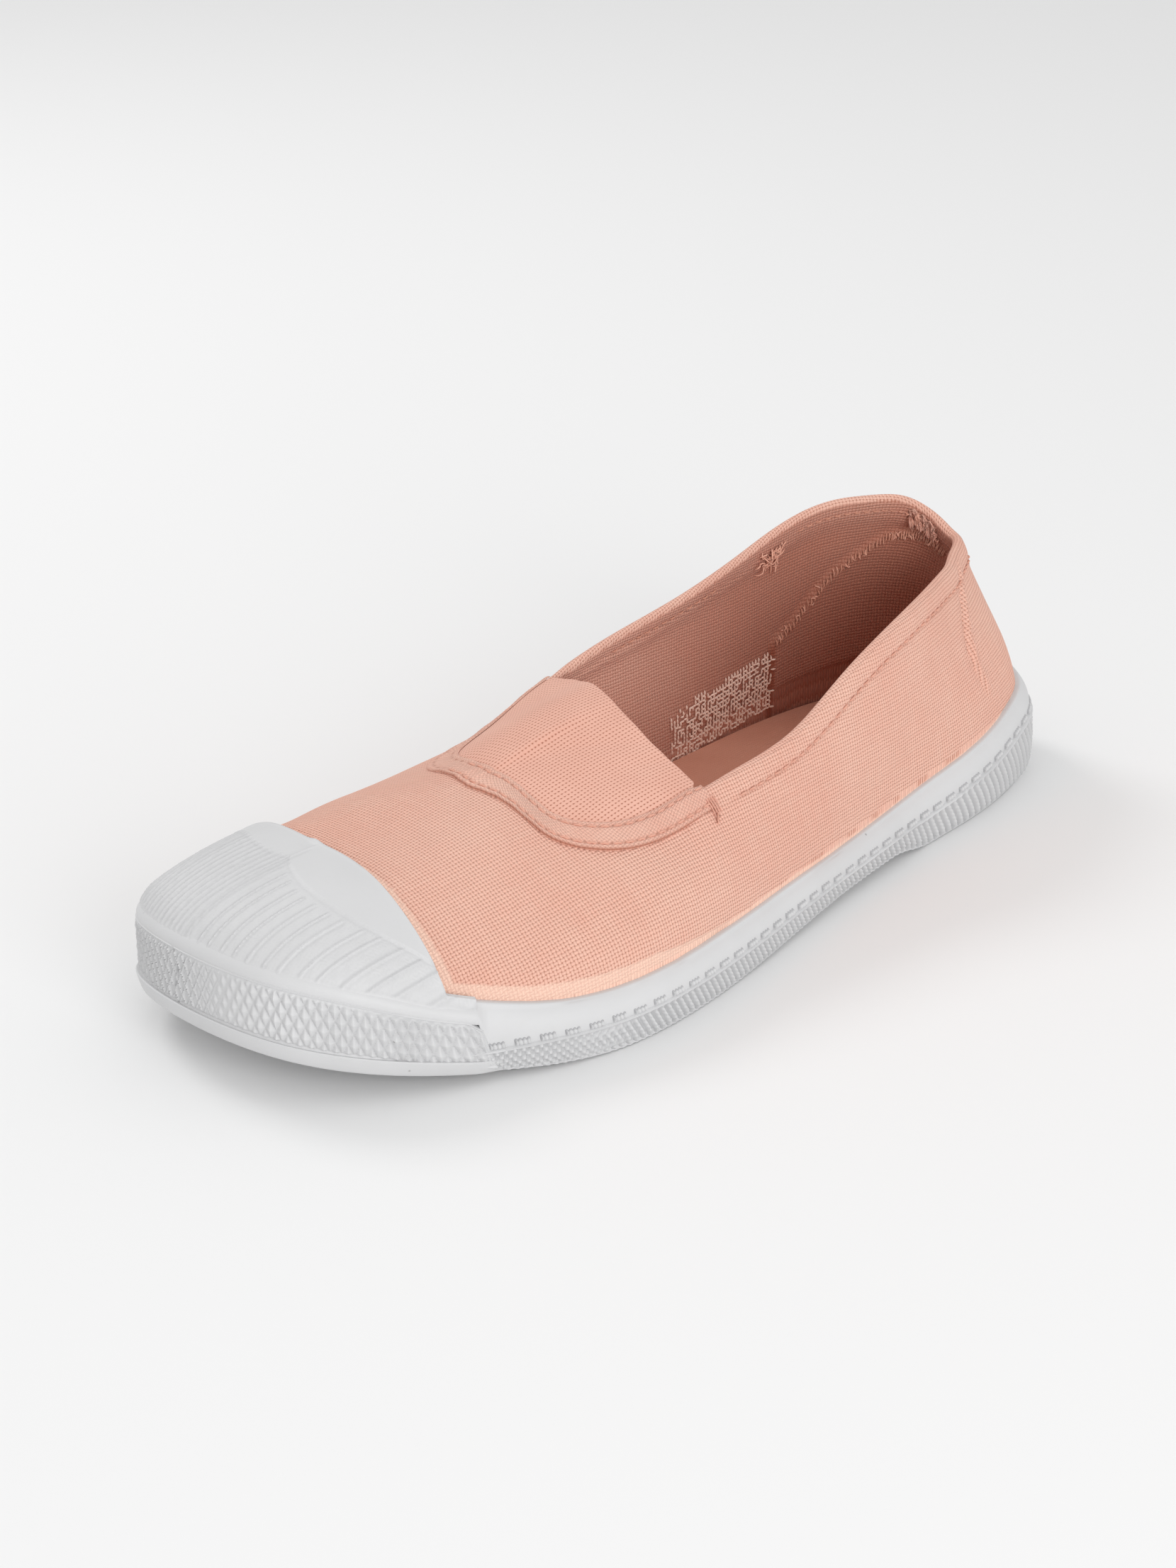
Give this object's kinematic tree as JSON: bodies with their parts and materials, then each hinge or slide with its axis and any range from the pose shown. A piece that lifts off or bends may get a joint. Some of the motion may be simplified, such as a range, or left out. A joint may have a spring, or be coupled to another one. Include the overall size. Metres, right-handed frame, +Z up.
{
  "type": "canvas slip-on sneaker",
  "caption": "Left canvas slip-on sneaker with a gathered elastic gore at the throat, a rubber toe cap with a diamond bumper, and a cupped rubber sole with ribbed sides",
  "frame": {"origin": "centre of the bounding box in plan, on the ground plane on which the heel and the ball of the sole rest", "axes": "+Z up, toe towards -Y, heel towards +Y, outer side of the foot towards +X"},
  "size_m": [0.1004, 0.255, 0.0679],
  "materials": {
    "canvas": "matte plain-weave cotton canvas, salmon",
    "knit": "matte rib-knit elastic, salmon",
    "white_rubber": "satin off-white vulcanised rubber",
    "insole_cloth": "matte cloth over foam, salmon"
  },
  "bodies": {
    "root": {"outsole": "white_rubber", "foxing": "white_rubber", "side_rib_strip": "white_rubber", "toe_bumper": "white_rubber", "toe_cap": "white_rubber", "insole": "insole_cloth", "upper": "canvas", "gore": "knit", "gore_binding": "canvas"}
  },
  "joints": []
}
